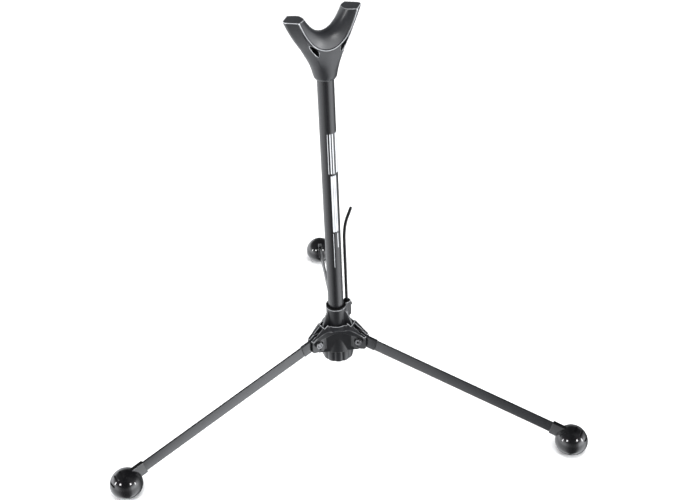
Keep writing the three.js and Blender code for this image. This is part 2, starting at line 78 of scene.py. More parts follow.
# ------------------------------------------------------------------ mesh tools
def lathe(profile, n):
    """Solid of revolution about Z from a closed [r, z] profile."""
    v, f, rows = [], [], []
    pts = profile[:-1] if profile[0] == profile[-1] else profile
    closed = profile[0] == profile[-1]
    for r, z in pts:
        if r < 1e-9:
            rows.append([len(v)])
            v.append((0, 0, z))
        else:
            rows.append(list(range(len(v), len(v) + n)))
            v += [(r * math.cos(2 * math.pi * i / n), r * math.sin(2 * math.pi * i / n), z) for i in range(n)]
    pairs = list(zip(rows, rows[1:])) + ([(rows[-1], rows[0])] if closed else [])
    for a, b in pairs:
        for i in range(n):
            j = (i + 1) % n
            if len(a) == 1 and len(b) == 1:
                continue
            if len(a) == 1:
                f.append((a[0], b[j], b[i]))
            elif len(b) == 1:
                f.append((a[i], a[j], b[0]))
            else:
                f.append((a[i], a[j], b[j], b[i]))
    return np.array(v, float), f


def loft(rings):
    """Closed solid through rings of equal length, capped at both ends."""
    n = len(rings[0])
    v = [tuple(p) for ring in rings for p in ring]
    f = []
    for k in range(len(rings) - 1):
        for i in range(n):
            a, b = k * n + i, k * n + (i + 1) % n
            f.append((a, b, b + n, a + n))
    f.append(tuple(range(n - 1, -1, -1)))
    top = (len(rings) - 1) * n
    f.append(tuple(range(top, top + n)))
    return np.array(v, float), f


def rod(r, z0, z1, n=48):
    return lathe([(0, z0), (r, z0), (r, z1), (0, z1)], n)


def cross_rod(r, x, z, y0, y1, n=48):
    v, f = rod(r, y0, y1, n)
    return np.stack([x + v[:, 0], v[:, 2], z - v[:, 1]], 1), f


def box(x0, x1, y0, y1, z0, z1):
    v = np.array([(x, y, z) for z in (z0, z1) for y in (y0, y1) for x in (x0, x1)], float)
    f = [(0, 2, 3, 1), (4, 5, 7, 6), (0, 1, 5, 4), (2, 6, 7, 3), (0, 4, 6, 2), (1, 3, 7, 5)]
    return v, f


def extrude(outline, z0, z1):
    n = len(outline)
    v = [(x, y, z0) for x, y in outline] + [(x, y, z1) for x, y in outline]
    f = [tuple(range(n - 1, -1, -1)), tuple(range(n, 2 * n))]
    f += [(i, (i + 1) % n, n + (i + 1) % n, n + i) for i in range(n)]
    return np.array(v, float), f


def plate(outline, y0, y1):
    """Outline in [x, z], thickness along Y."""
    v, f = extrude(outline, y0, y1)
    return np.stack([v[:, 0], v[:, 2], v[:, 1]], 1), [tuple(reversed(q)) for q in f]


def move(part, dx=0, dy=0, dz=0):
    v, f = part
    return v + np.array([dx, dy, dz]), f


def turn(part, axis, deg):
    v, f = part
    m = np.array(Matrix.Rotation(deg * DEG, 3, axis))
    return v @ m.T, f


def merge(parts):
    v, f, k = [], [], 0
    for a, b in parts:
        v.append(a)
        f += [tuple(i + k for i in q) for q in b]
        k += len(a)
    return np.concatenate(v), f


def to_row(v):
    """From post-axis millimetres to the row frame in metres."""
    return np.asarray(v) * MM + np.array([AX, AY, AZ])


def from_leg(part, n):
    """From the frame of a leg (x out along the bar, y across, z up) to post-axis mm."""
    v, f = turn(part, "Y", SLOPE / DEG)
    v = v + np.array([PIVOT_R, 0, PIVOT_Z])
    return turn((v, f), "Z", LEG_AZ[n - 1])


def from_pivot(part, n):
    v, f = part
    return turn((v + np.array([PIVOT_R, 0, PIVOT_Z]), f), "Z", LEG_AZ[n - 1])


def make(part, name="tmp"):
    v, f = part
    me = bpy.data.meshes.new(name)
    me.from_pydata([tuple(p) for p in to_row(v)], [], f)
    me.validate()
    bm = bmesh.new()
    bm.from_mesh(me)
    bmesh.ops.remove_doubles(bm, verts=bm.verts, dist=1e-7)
    bmesh.ops.recalc_face_normals(bm, faces=bm.faces)
    bm.to_mesh(me)
    bm.free()
    ob = bpy.data.objects.new(name, me)
    bpy.context.scene.collection.objects.link(ob)
    return ob


def bake(ob):
    """Applies the object's modifiers."""
    deps = bpy.context.evaluated_depsgraph_get()
    me = bpy.data.meshes.new_from_object(ob.evaluated_get(deps), depsgraph=deps)
    ob.modifiers.clear()
    old = ob.data
    ob.data = me
    bpy.data.meshes.remove(old)
    return ob


SOLVER = "MANIFOLD"


def combine(base, parts, op):
    """Boolean of base with several closed parts at once."""
    col = bpy.data.collections.new("tools")
    bpy.context.scene.collection.children.link(col)
    tools = []
    for p in parts:
        t = make(p)
        bpy.context.scene.collection.objects.unlink(t)
        col.objects.link(t)
        tools.append(t)
    m = base.modifiers.new("b", "BOOLEAN")
    m.operation, m.solver, m.operand_type, m.collection = op, SOLVER, "COLLECTION", col
    bake(base)
    for t in tools:
        me = t.data
        bpy.data.objects.remove(t)
        bpy.data.meshes.remove(me)
    bpy.data.collections.remove(col)
    return base


def voxel(ob, size, rounds, factor=0.5):
    m = ob.modifiers.new("r", "REMESH")
    m.mode, m.voxel_size, m.use_smooth_shade = "VOXEL", size * MM, True
    if rounds:
        s = ob.modifiers.new("s", "SMOOTH")
        s.factor, s.iterations = factor, rounds
    return bake(ob)


def mark_edges(ob, rounds=2, up=None):
    """Stores how convex the surface is at every vertex, as the mask of the painted edge highlight."""
    me = ob.data
    n = len(me.vertices)
    co = np.empty(n * 3)
    me.vertices.foreach_get("co", co)
    co = co.reshape(-1, 3)
    no = np.empty(n * 3)
    me.vertices.foreach_get("normal", no)
    no = no.reshape(-1, 3)
    e = np.empty(len(me.edges) * 2, dtype=np.int32)
    me.edges.foreach_get("vertices", e)
    e = e.reshape(-1, 2)
    a, b = np.concatenate([e[:, 0], e[:, 1]]), np.concatenate([e[:, 1], e[:, 0]])
    deg = np.maximum(np.bincount(a, minlength=n), 1)

    def mean(x):
        return np.bincount(a, weights=x[b], minlength=n) / deg

    for _ in range(2):
        no = np.stack([mean(no[:, k]) + no[:, k] for k in range(3)], 1)
        no /= np.maximum(np.linalg.norm(no, axis=1, keepdims=True), 1e-9)
    # turning of the normal over the neighbours, positive where the surface is convex
    d = co[b] - co[a]
    bend = np.einsum("ij,ij->i", no[b] - no[a], d) / np.maximum(np.einsum("ij,ij->i", d, d), 1e-12)
    h = np.bincount(a, weights=bend, minlength=n) / deg * MM
    for _ in range(rounds):
        h = 0.5 * h + 0.5 * mean(h)
    # only edges that face upward keep the painted highlight, as if lit from above
    if up:
        h = h * np.clip((no[:, 2] - up[0]) / (up[1] - up[0]), 0, 1)
    at = me.attributes.new("convex", "FLOAT", "POINT")
    at.data.foreach_set("value", h.astype(np.float32))
    return ob


def bevel(ob, width, segments=2, angle=35):
    m = ob.modifiers.new("bev", "BEVEL")
    m.width, m.segments, m.limit_method, m.angle_limit = width * MM, segments, "ANGLE", angle * DEG
    m.use_clamp_overlap = True
    return bake(ob)


def soften(ob, angle=38):
    me = ob.data
    me.polygons.foreach_set("use_smooth", [True] * len(me.polygons))
    me.set_sharp_from_angle(angle=angle * DEG)
    return ob


def piece(ob, name, node, body, mat):
    ob.name = name
    ob.data.name = name
    ob.data.materials.clear()
    ob.data.materials.append(mat)
    nodes = node if isinstance(node, (list, tuple)) else [node]
    if nodes[0]:
        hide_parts(*nodes)
    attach(ob, body)
    return ob


# ------------------------------------------------------------------- materials
def _base(name):
    m = bpy.data.materials.new(name)
    m.use_nodes = True
    nt = m.node_tree
    b = nt.nodes["Principled BSDF"]
    return m, nt, b


def _noise(nt, scale, detail=3, rough=0.6):
    tc = nt.nodes.new("ShaderNodeTexCoord")
    no = nt.nodes.new("ShaderNodeTexNoise")
    no.inputs["Scale"].default_value = scale
    no.inputs["Detail"].default_value = detail
    no.inputs["Roughness"].default_value = rough
    nt.links.new(tc.outputs["Object"], no.inputs["Vector"])
    return no


def _ramp(nt, fac, stops):
    r = nt.nodes.new("ShaderNodeValToRGB")
    el = r.color_ramp.elements
    el[0].position, el[0].color = stops[0]
    el[1].position, el[1].color = stops[-1]
    for pos, col in stops[1:-1]:
        e = el.new(pos)
        e.color = col
    nt.links.new(fac, r.inputs["Fac"])
    return r


def surface(name, dark, light, rough=(0.35, 0.5), metal=0.0, grain=900, grain_h=0.02, cloud=60,
            spec=0.5, coat=0.0, coat_rough=0.2, ior=1.5, painted_edge_highlight=None):
    m, nt, b = _base(name)
    cl = _noise(nt, cloud, 4)
    col = _ramp(nt, cl.outputs["Fac"], [(0.32, (*dark, 1)), (0.7, (*light, 1))])
    out = col.outputs["Color"]
    if painted_edge_highlight:
        # painted highlight: the base colour turns pale grey along the convex edges, standing in for light caught on the
        # rounded rims
        lo, hi, pale = painted_edge_highlight
        geo = nt.nodes.new("ShaderNodeAttribute")
        geo.attribute_name = "convex"
        er = nt.nodes.new("ShaderNodeMapRange")
        er.inputs["From Min"].default_value, er.inputs["From Max"].default_value = lo, hi
        nt.links.new(geo.outputs["Fac"], er.inputs["Value"])
        mx = nt.nodes.new("ShaderNodeMix")
        mx.data_type = "RGBA"
        nt.links.new(er.outputs["Result"], mx.inputs[0])
        nt.links.new(out, mx.inputs[6])
        mx.inputs[7].default_value = (pale, pale * 1.02, pale * 1.06, 1)
        out = mx.outputs[2]
    nt.links.new(out, b.inputs["Base Color"])
    mr = nt.nodes.new("ShaderNodeMapRange")
    mr.inputs["From Min"].default_value = 0.3
    mr.inputs["From Max"].default_value = 0.7
    mr.inputs["To Min"].default_value = rough[0]
    mr.inputs["To Max"].default_value = rough[1]
    cl2 = _noise(nt, cloud * 2.3, 5)
    nt.links.new(cl2.outputs["Fac"], mr.inputs["Value"])
    nt.links.new(mr.outputs["Result"], b.inputs["Roughness"])
    b.inputs["Metallic"].default_value = metal
    b.inputs["IOR"].default_value = ior
    b.inputs["Specular IOR Level"].default_value = spec
    if coat:
        b.inputs["Coat Weight"].default_value = coat
        b.inputs["Coat Roughness"].default_value = coat_rough
    if grain_h:
        gr = _noise(nt, grain, 2)
        bu = nt.nodes.new("ShaderNodeBump")
        bu.inputs["Strength"].default_value = grain_h
        bu.inputs["Distance"].default_value = 0.0002
        nt.links.new(gr.outputs["Fac"], bu.inputs["Height"])
        nt.links.new(bu.outputs["Normal"], b.inputs["Normal"])
    return m


# the hub and fork materials paint a pale highlight on their convex edges
M_HUB = surface("stand_moulded_black", (0.005, 0.0052, 0.006), (0.009, 0.0094, 0.0108), (0.27, 0.35), grain_h=0.08, spec=0.42, painted_edge_highlight=(0.30, 0.75, 0.30))
M_FORK = surface("fork_moulded_black", (0.008, 0.0084, 0.0096), (0.013, 0.0136, 0.0155), (0.30, 0.38), grain_h=0.10, spec=0.42, painted_edge_highlight=(0.30, 0.75, 0.34))
M_LEG = surface("leg_black_anodised", (0.006, 0.0065, 0.0075), (0.010, 0.0105, 0.012), (0.2, 0.28), grain=2400, grain_h=0.04, spec=0.5)
M_FOOT = surface("foot_gloss_black", (0.003, 0.003, 0.0035), (0.006, 0.006, 0.0065), (0.06, 0.12), grain_h=0.03, spec=0.5)
M_BUSH = surface("bush_matt_black", (0.0012, 0.0012, 0.0012), (0.0026, 0.0026, 0.0027), (0.5, 0.65), grain_h=0.05, spec=0.12)
M_STEEL = surface("steel_blackened", (0.09, 0.09, 0.095), (0.16, 0.16, 0.165), (0.22, 0.34), metal=0.85, grain=1800, grain_h=0.06)
M_CLIP = surface("clip_black_coat", (0.002, 0.002, 0.0023), (0.004, 0.004, 0.0045), (0.28, 0.38), grain_h=0.04, spec=0.3)


def tube_material():
    """Satin black anodising with faint draw lines; the printed stripes are separate pieces."""
    m, nt, b = _base("tube_black_anodised")
    tc = nt.nodes.new("ShaderNodeTexCoord")
    mp = nt.nodes.new("ShaderNodeMapping")
    mp.inputs["Scale"].default_value = (900, 900, 3)
    nt.links.new(tc.outputs["Object"], mp.inputs["Vector"])
    no = nt.nodes.new("ShaderNodeTexNoise")
    no.inputs["Scale"].default_value = 1.0
    no.inputs["Detail"].default_value = 2
    nt.links.new(mp.outputs["Vector"], no.inputs["Vector"])
    col = _ramp(nt, no.outputs["Fac"], [(0.3, (0.005, 0.005, 0.006, 1)), (0.7, (0.009, 0.009, 0.010, 1))])
    mr = nt.nodes.new("ShaderNodeMapRange")
    mr.inputs["From Min"].default_value, mr.inputs["From Max"].default_value = 0.3, 0.7
    mr.inputs["To Min"].default_value, mr.inputs["To Max"].default_value = 0.24, 0.32
    nt.links.new(no.outputs["Fac"], mr.inputs["Value"])
    nt.links.new(col.outputs["Color"], b.inputs["Base Color"])
    nt.links.new(mr.outputs["Result"], b.inputs["Roughness"])
    b.inputs["Metallic"].default_value = 0.0
    b.inputs["Specular IOR Level"].default_value = 0.5
    return m


M_TUBE = tube_material()
M_PRINT = surface("stripe_print", (0.42, 0.43, 0.45), (0.52, 0.53, 0.55), (0.45, 0.55), grain_h=0.02)


# ------------------------------------------------------------------------- hub
def star_radius(phi):
    if phi <= 8:
        return 34.2 / math.cos(phi * DEG)
    a = np.array([32.8, 5.1])
    c, s = math.cos(120 * DEG), math.sin(120 * DEG)
    b = np.array([a[0] * c + a[1] * s, a[0] * s - a[1] * c])
    m = np.array([11.6 * math.cos(60 * DEG), 11.6 * math.sin(60 * DEG)])
    for i in range(801):
        t = i / 1600
        p = (1 - t) ** 2 * a + 2 * t * (1 - t) * m + t * t * b
        if math.atan2(p[1], p[0]) >= phi * DEG - 1e-9:
            return math.hypot(*p)
    return 15.9


def hood_heights(r, phi):
    s = r * math.sin(phi * DEG)
    wide = float(np.interp(r, [13, 20], [0.42, 1.0]))
    start = float(np.interp(r, [13.5, 18], [3.4, 5.2]))
    side = min(1, max(0, (s - start) / (wide * (0.866 * r - 5.2))))
    ridge = 84.98 - 0.755 * (r - 12.5)
    valley = 80.9 - 0.9 * (r - 12.6)
    k = side * side * (3 - 2 * side)
    top = min(ridge, ridge + (valley - ridge) * k)
    low = 68.2 + 7.2 * math.sin(min(1, phi / 60) * math.pi / 2) ** 1.6
    return max(top, low + 1.2), low


def hood():
    phis = [0, 2.5, 5, 7, 8.84, 10, 12, 14, 16, 18.5, 21, 24, 27, 31, 35, 39, 43, 47, 51, 55]
    ang = []
    for az in (60, 180, 300):
        ang += [(az + p, p) for p in phis] + [(az + 60, 60)]
        ang += [(az + 120 - p, p) for p in reversed(phis[1:])]
    star = {p: star_radius(p) for p in set(p for _, p in ang)}
    nr = 16
    v, f, n = [], [], len(ang)
    for layer in (0, 1):
        for j in range(nr + 1):
            for az, p in ang:
                r = 9.6 + (star[p] - 9.6) * j / nr
                v.append((r * math.cos(az * DEG), r * math.sin(az * DEG), hood_heights(r, p)[layer]))
    at = lambda l, j, i: (l * (nr + 1) + j) * n + i % n
    for i in range(n):
        for j in range(nr):
            f.append((at(0, j, i), at(0, j + 1, i), at(0, j + 1, i + 1), at(0, j, i + 1)))
            f.append((at(1, j, i), at(1, j, i + 1), at(1, j + 1, i + 1), at(1, j + 1, i)))
        f.append((at(0, 0, i), at(0, 0, i + 1), at(1, 0, i + 1), at(1, 0, i)))
        f.append((at(0, nr, i), at(1, nr, i), at(1, nr, i + 1), at(0, nr, i + 1)))
    return np.array(v), f


def build_hub():
    boss = lathe([(0, HUB_Z0), (16.4, HUB_Z0), (17.0, 50.4), (15.6, 58), (14.1, 67.5), (12.3, 74), (11.9, 76),
                  (0, 76)], 128)
    collar = lathe([(0, 70), (COLLAR_R, 70), (COLLAR_R, COLLAR_TOP - 0.5), (COLLAR_R - 0.4, COLLAR_TOP), (0, COLLAR_TOP)], 128)
    core = [(2 * WALL_D * math.cos(a * DEG), 2 * WALL_D * math.sin(a * DEG)) for a in (60, 180, 300)]
    adds = [extrude(core, HUB_Z0 + 0.5, 76), hood()]
    # the hood stands clear of the collar: a ring groove, and a pocket on each side of each fin
    fins, moat = [], [lathe([(9.0, 77.4), (12.6, 77.4), (12.6, 110), (9.0, 110), (9.0, 77.4)], 128)]
    for az in LEG_AZ:
        cheek = plate([(8, 56), (8, 84.5), (12.4, 85.06), (33.0, 69.5), (34.2, 68.4), (CLEVIS_END, 66.6),
                       (CLEVIS_END, 57.6), (34.0, 55.6), (32.2, 54.4), (22, 52.2), (15, 50.6), (13, 50)], -CHEEK_S, CHEEK_S)
        fin = plate([(8, 97), (10.6, 96.6), (12.8, 94), (SLOT_R, 77.4), (SLOT_R, 60), (8, 60)], -1.05, 1.05)
        adds.append(turn(cheek, "Z", az))
        brow = plate([(8, 71), (8, 84.5), (12.4, 85.06), (33.0, 69.5), (34.0, 68.4), (33.4, 67.6), (28.5, 69.2), (22, 71)], -5.4, 5.4)
        adds.append(turn(brow, "Z", az))
        fins.append(turn(fin, "Z", az))
        moat.append(turn(box(9, 14.3, -5.7, 5.7, 77.4, 110), "Z", az))
        for side in (1, -1):
            moat.append(turn(box(9, 18.3, min(side * 1.05, side * 4.7), max(side * 1.05, side * 4.7), 77.4, 110), "Z", az))
            moat.append(turn(box(SLOT_R, 31.5, min(0, side * 2.7), max(0, side * 2.7), 72.5, 110), "Z", az))
        for side in (1, -1):
            pad = [(14, 4), (25.5, 4), (25.5, 6.6), (21.5, 6.6), (16, 5.2), (14, 4.6)]
            pad = [(x, side * y) for x, y in (pad if side > 0 else reversed(pad))]
            adds.append(turn(extrude(pad, 55.4, 70.8), "Z", az))
    fins.append(box(8, 14.7, -3.5, 3.5, 80.6, COLLAR_TOP))
    fins.append(move(rod(3.7, 82.5, COLLAR_TOP, 64), dx=14.7))
    hub = combine(make(boss), adds, "UNION")
    combine(hub, moat, "DIFFERENCE")
    combine(hub, [collar] + fins, "UNION")
    cuts = [rod(BORE_R, BORE_Z, 120, 128), rod(3.3, 40, 60, 48)]
    for az in LEG_AZ:
        for t in (box(SLOT_R, 40, -SLOT_S, SLOT_S, 40, 110), cross_rod(2.15, PIVOT_R, PIVOT_Z, -12, 12),
                  cross_rod(4.9, PIVOT_R, PIVOT_Z, CHEEK_S, 14), cross_rod(4.9, PIVOT_R, PIVOT_Z, -14, -CHEEK_S)):
            cuts.append(turn(t, "Z", az))
    cuts.append(move(rod(2.3, 91.6, 110, 40), dx=CLIP_R))
    cuts.append(move(rod(3.1, 96.3, 110, 48), dx=CLIP_R))
    gx = rod(1.45, 15.7, 20.7, 32)
    cuts.append((np.stack([gx[0][:, 2], gx[0][:, 1], 94 - gx[0][:, 0]], 1), gx[1]))
    combine(hub, cuts, "DIFFERENCE")
    # the hub's convexity mask, kept to upward-facing edges, drives its painted edge highlight
    return mark_edges(voxel(hub, 0.36, 2), up=(0.1, 0.34))


piece(build_hub(), "hub_moulding", "hub_body", "frame", M_HUB)

# ----------------------------------------------------------- post, bush, inside
piece(soften(make(lathe([(8.28, 72), (9.12, 72), (9.12, COLLAR_TOP + 0.3), (10.1, COLLAR_TOP + 0.3), (10.35, COLLAR_TOP + 0.55),
                         (10.35, 101.1), (10.25, 101.45), (10.0, 101.6), (8.5, 101.6), (8.28, 101.4), (8.28, 72)], 128))),
      "bush_collar", "tube_bush", "frame", M_BUSH)
piece(soften(make(lathe([(TUBE_RI, 53.6), (TUBE_RI + 0.3, 53.3), (TUBE_R - 0.3, 53.3), (TUBE_R, 53.6), (TUBE_R, 371.3),
                         (TUBE_R - 0.3, 371.6), (TUBE_RI + 0.3, 371.6), (TUBE_RI, 371.3), (TUBE_RI, 53.6)], 128))),
      "post_shell", "post_tube", "frame", M_TUBE)
piece(soften(make(lathe([(3.3, 54.4), (6.2, 54.4), (6.5, 54.7), (6.5, 68), (6.0, 69), (3.6, 69), (3.3, 68.7), (3.3, 54.4)], 64))),
      "plug_in_post", "tube_end_plug", "frame", M_BUSH)


def stripe(a0, a1, z0, z1, name, lean=0.0):
    """A thin printed bar on the post, between two azimuths and two heights."""
    n = 10
    r = TUBE_R + 0.04
    outer, inner = [], []
    pts = []
    for i in range(n + 1):
        a = (a0 + (a1 - a0) * i / n) * DEG
        pts.append((math.cos(a), math.sin(a)))
    v, f = [], []
    for z in (z0, z1):
        for rr in (TUBE_R - 0.05, r):
            v += [(rr * c, rr * s, z) for c, s in pts]
    k = n + 1
    for i in range(n):
        f += [(k + i, k + i + 1, 3 * k + i + 1, 3 * k + i), (i + 1, i, 2 * k + i, 2 * k + i + 1),
              (i, i + 1, k + i + 1, k + i), (2 * k + i + 1, 2 * k + i, 3 * k + i, 3 * k + i + 1)]
    f += [(0, k, 3 * k, 2 * k), (n, 2 * k + n, 3 * k + n, k + n)]
    ob = soften(make((np.array(v), f)))
    return piece(ob, name, None, "frame", M_PRINT)


# plain printed bars on the camera side of the post
STRIPES = [(52, 74, 259.5, 302), (-7, -3, 259.5, 302), (9, 17, 259.5, 302), (27, 35, 259.5, 302), (6, 19, 194, 257),
           (22, 34, 194, 257), (37, 46, 194, 257), (5.5, 8.5, 152, 192), (37, 43, 175, 192)]
for _i, (_a0, _a1, _z0, _z1) in enumerate(STRIPES):
    stripe(_a0 - 124.9, _a1 - 124.9, _z0, _z1, f"post_stripe_{_i + 1}")

# ------------------------------------------------------------------ knob, stud
def build_knob():
    lobes, rings = 12, []
    prof = [(1.55, 36.9), (0.95, 37.0), (0.45, 37.3), (0.12, 37.8), (0, 38.4), (0, 48.4), (0.15, 48.95), (0.5, 49.35), (0.9, 49.5)]
    n = lobes * 20
    for k, z in prof:
        ring = []
        for i in range(n):
            a = 2 * math.pi * i / n
            wave = abs(math.sin(a * lobes / 2))
            r = 16.3 - 0.7 * (1 - wave) ** 1.4 - k
            ring.append((r * math.cos(a + 12.1 * DEG), r * math.sin(a + 12.1 * DEG), z))
        rings.append(ring)
    ob = make(loft(rings))
    # dished underside with a raised centre, and the stud's hole
    dish = lathe([(7.2, 36.0), (12.6, 36.0), (12.6, 37.5), (12.2, 37.9), (7.6, 37.9), (7.2, 37.5), (7.2, 36.0)], 96)
    combine(ob, [rod(3.3, 40.4, 60, 48), dish], "DIFFERENCE")
    return soften(ob, 42)


piece(build_knob(), "knob_fluted", "bottom_knob", "knob", M_HUB)
piece(soften(make(lathe([(0, 40.7), (2.6, 40.7), (3.0, 41.1), (3.0, 65.4), (2.4, 66), (0, 66)], 48))),
      "stud_of_knob", "knob_stud", "knob", M_STEEL)

# ------------------------------------------------------------------- wire clip
def smooth_path(points, step):
    """Catmull-Rom through [r, z] points, resampled."""
    p = [np.array(q, float) for q in points]
    p = [2 * p[0] - p[1]] + p + [2 * p[-1] - p[-2]]
    out = []
    for i in range(1, len(p) - 2):
        d = np.linalg.norm(p[i + 1] - p[i])
        m = max(2, int(d / step))
        for j in range(m):
            t = j / m
            out.append(0.5 * (2 * p[i] + (p[i + 1] - p[i - 1]) * t + (2 * p[i - 1] - 5 * p[i] + 4 * p[i + 1] - p[i + 2]) * t * t
                              + (3 * p[i] - p[i - 1] - 3 * p[i + 1] + p[i + 2]) * t ** 3))
    out.append(p[-2])
    return out


def build_clip():
    path = smooth_path([(CLIP_R, 92.5), (CLIP_R, 110), (CLIP_R, 140), (CLIP_R, 170), (13.75, 178), (14.3, 185), (15.3, 191),
                        (17.1, 196.8), (19.6, 202), (22.1, 206.8), (23.6, 209.8)], 1.6)
    rings, n, m = [], 28, len(path)
    for k in range(m):
        a, b = path[max(0, k - 1)], path[min(m - 1, k + 1)]
        d = (b - a) / np.linalg.norm(b - a)
        left = np.linalg.norm(path[m - 1] - path[k])
        first = np.linalg.norm(path[0] - path[k])
        near = min(left, first)
        rr = ROD_R if near > ROD_R else ROD_R * math.sqrt(max(0.02, 1 - (1 - near / ROD_R) ** 2))
        ring = []
        for i in range(n):
            t = 2 * math.pi * i / n
            ring.append((path[k][0] + d[1] * rr * math.cos(t), rr * math.sin(t), path[k][1] - d[0] * rr * math.cos(t)))
        rings.append(ring)
    # rounded tips
    def tip(end, sign):
        base, d = (path[-1], path[-1] - path[-2]) if end else (path[0], path[0] - path[1])
        d = d / np.linalg.norm(d)
        out = []
        for q in (0.35, 0.65, 0.86, 0.97):
            rr = ROD_R * math.sqrt(1 - q * q)
            c = base - d * ROD_R * (1 - q)
            e = d if end else -d
            out.append([(c[0] + e[1] * rr * math.cos(2 * math.pi * i / n), rr * math.sin(2 * math.pi * i / n),
                         c[1] - e[0] * rr * math.cos(2 * math.pi * i / n)) for i in range(n)])
        return out
    body = [r for k, r in enumerate(rings)
            if np.linalg.norm(path[-1] - path[k]) > ROD_R * 1.05 and np.linalg.norm(path[0] - path[k]) > ROD_R * 1.05]
    return soften(make(loft(list(reversed(tip(False, -1))) + body + tip(True, 1))), 60)


piece(build_clip(), "wire_clip", "limb_clip", "clip", M_CLIP)
_g = move(lathe([(1.85, 96.6), (2.6, 96.6), (2.8, 96.8), (2.8, COLLAR_TOP + 0.3), (3.05, COLLAR_TOP + 0.3), (3.3, COLLAR_TOP + 0.5),
                 (3.3, 100.5), (3.15, 100.9), (2.8, 101.1), (2.1, 101.1), (1.85, 100.9), (1.85, 96.6)], 64), dx=CLIP_R)
_o = make(_g)
combine(_o, [rod(10.65, 90, 110, 128)], "DIFFERENCE")
piece(soften(_o), "grommet_of_clip", "clip_grommet", "frame", M_BUSH)
_p = lathe([(0, 16.3), (1.15, 16.3), (1.15, 18.7), (1.75, 18.7), (1.9, 18.85), (1.9, 19.3), (1.72, 19.5), (0.75, 19.5),
            (0.75, 18.9), (0, 18.9)], 48)
_s = make((np.stack([_p[0][:, 2], _p[0][:, 1], 94 - _p[0][:, 0]], 1), _p[1]))
piece(soften(_s), "screw_of_clip", "clip_screw", "frame", M_STEEL)

# ------------------------------------------------------------------- fork head
TOP = []
for _sd in (-1, 1):
    TOP += [(_sd * 38.8, _sd * 2.6), (_sd * FORK_HALF, _sd * 0.8), (_sd * FORK_HALF, -_sd * 0.8), (_sd * 38.8, -_sd * 2.6),
            (_sd * 30, -_sd * FORK_THICK), (-_sd * 30, -_sd * FORK_THICK)]


def top_point(th):
    dx, dy, best = math.cos(th), math.sin(th), 0
    for i in range(len(TOP)):
        (x1, y1), (x2, y2) = TOP[i], TOP[(i + 1) % len(TOP)]
        ex, ey = x2 - x1, y2 - y1
        det = -dx * ey + dy * ex
        if abs(det) < 1e-9:
            continue
        t = (-x1 * ey + y1 * ex) / det
        u = (dx * y1 - dy * x1) / det
        if t > 0 and -1e-9 <= u <= 1 + 1e-9:
            best = max(best, t)
    return dx * best / FORK_HALF, dy * best / FORK_THICK


RHO = [(356.4, 9.4), (358.6, 10.8), (361.5, 11.5), (366, 12.8), (371, 14.4), (375, 16.2), (379, 18.2), (384, 20.9), (389.5, 23.9),
       (394, 26.8), (398.5, 29.6), (403, 32.1), (408, 34.7), (412, 36.6), (418.7, FORK_HALF)]
THICK = [(356.4, 9.4), (358.6, 10.8), (361.5, 11.3), (370, 11.8), (385, 11.5), (400, 11.1), (418.7, FORK_THICK)]
MORPH = [(364, 0), (372, 0.2), (384, 0.65), (396, 0.95), (404, 1), (420, 1)]


def table(t, x):
    return float(np.interp(x, [a for a, _ in t], [b for _, b in t]))


def fork_rings():
    angles = sorted([-math.pi + 2 * math.pi * i / 168 for i in range(168)])
    for c in [math.atan2(y / FORK_THICK, x / FORK_HALF) for x, y in TOP]:
        k = min(range(len(angles)), key=lambda q: abs(math.atan2(math.sin(angles[q] - c), math.cos(angles[q] - c))))
        angles[k] = c
    angles.sort()
    ray = [top_point(math.atan2(math.sin(a) * FORK_THICK, math.cos(a) * FORK_HALF)) for a in angles]
    zs = [356.4, 357.4, 358.6, 360, 361.5] + list(np.linspace(363, FORK_TOP, 44))
    rings = []
    for z in zs:
        rho, t, m = table(RHO, z), table(THICK, z), table(MORPH, z)
        rings.append([(rho * ((1 - m) * math.cos(a) + m * q[0]), t * ((1 - m) * math.sin(a) + m * q[1]), z)
                      for a, q in zip(angles, ray)])
    return rings


def seat_height(g, h):
    c = max(-0.6, 1 - (abs(h) / 11) ** 2.8)
    a = 30 - 9.4 * c
    low = SEAT_LOW + SEAT_CROWN * c
    return low + (FORK_TOP - low) * (abs(g) / a) ** (2.55 - 0.45 * max(0, c))


def seat_tool():
    sg = np.linspace(-36, 36, 109)
    sh = np.linspace(-14, 14, 57)
    ng, nh = len(sg), len(sh)
    v = [(g, h, min(452, seat_height(g, h))) for h in sh for g in sg]
    v += [(g, h, 460) for h in sh for g in sg]
    half, f = ng * nh, []
    for j in range(nh - 1):
        for i in range(ng - 1):
            a = j * ng + i
            f.append((a, a + ng, a + ng + 1, a + 1))
            f.append((half + a, half + a + 1, half + a + ng + 1, half + a + ng))
    for i in range(ng - 1):
        a, c = i, (nh - 1) * ng + i
        f += [(a, a + 1, half + a + 1, half + a), (c + 1, c, half + c, half + c + 1)]
    for j in range(nh - 1):
        a, c = j * ng, j * ng + ng - 1
        f += [(a + ng, a, half + a, half + a + ng), (c, c + ng, half + c + ng, half + c)]
    return np.array(v), f


def front_depth(g, z):
    """Half thickness of the fork at spread g and height z."""
    rho, t, m = table(RHO, z), table(THICK, z), table(MORPH, z)
    if abs(g) >= rho:
        return 0.0
    lo, hi = 0.0, math.pi / 2
    for _ in range(40):
        a = (lo + hi) / 2
        q = top_point(math.atan2(math.sin(a) * FORK_THICK, math.cos(a) * FORK_HALF))
        x = rho * ((1 - m) * math.cos(a) + m * q[0])
        if x > abs(g):
            lo = a
        else:
            hi = a
    q = top_point(math.atan2(math.sin(a) * FORK_THICK, math.cos(a) * FORK_HALF))
    return t * ((1 - m) * math.sin(a) + m * q[1])


